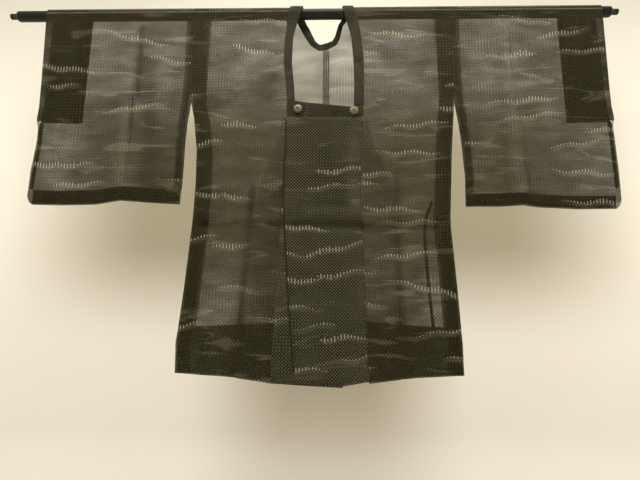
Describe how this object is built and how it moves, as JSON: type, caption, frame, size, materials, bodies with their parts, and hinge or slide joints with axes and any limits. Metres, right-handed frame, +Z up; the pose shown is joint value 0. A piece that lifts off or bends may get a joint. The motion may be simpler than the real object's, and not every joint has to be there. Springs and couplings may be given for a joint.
{
  "type": "michiyuki coat on rod",
  "caption": "Sheer summer michiyuki coat with a square neck, lapped front bands and wide open sleeves, hung flat over a steel rod that runs through both sleeves.",
  "frame": {"origin": "on the rod's axis, level with the middle of the coat, where the rod holds it", "axes": "+X to the wearer's left along the rod, +Y from the coat's front to its back, +Z up"},
  "size_m": [1.442, 0.0379, 0.8735],
  "materials": {
    "gauze": "sheer black silk gauze, one layer, matt",
    "gauze_turned_in": "the same gauze turned in at seams, hems and cuffs",
    "gauze_doubled": "the same gauze folded double, in the collar and tape",
    "steel_tube": "black satin paint",
    "bronze": "aged bronze, domed snap buttons"
  },
  "bodies": {
    "root": {"rod": "steel_tube", "body_right": "gauze", "gusset_right": "gauze", "sleeve_right": "gauze", "side_allowance_right": "gauze_turned_in", "hem_facing_front_right": "gauze_turned_in", "hem_facing_back_right": "gauze_turned_in", "front_allowance_right": "gauze_turned_in", "sleeve_inner_allowance_right": "gauze_turned_in", "cuff_facing_right": "gauze_turned_in", "sleeve_bottom_seam_right": "gauze_turned_in", "sleeve_edge_seam_right": "gauze_turned_in", "button_right": "bronze", "body_left": "gauze", "gusset_left": "gauze", "sleeve_left": "gauze", "side_allowance_left": "gauze_turned_in", "hem_facing_front_left": "gauze_turned_in", "hem_facing_back_left": "gauze_turned_in", "front_allowance_left": "gauze_turned_in", "sleeve_inner_allowance_left": "gauze_turned_in", "cuff_facing_left": "gauze_turned_in", "sleeve_bottom_seam_left": "gauze_turned_in", "sleeve_edge_seam_left": "gauze_turned_in", "button_left": "bronze", "front_band_over": "gauze", "front_band_under": "gauze", "collar": "gauze_doubled", "collar_band_over": "gauze_doubled", "collar_band_under": "gauze_doubled", "inner_tape": "gauze_doubled", "centre_back_allowance": "gauze_turned_in"}
  },
  "joints": []
}
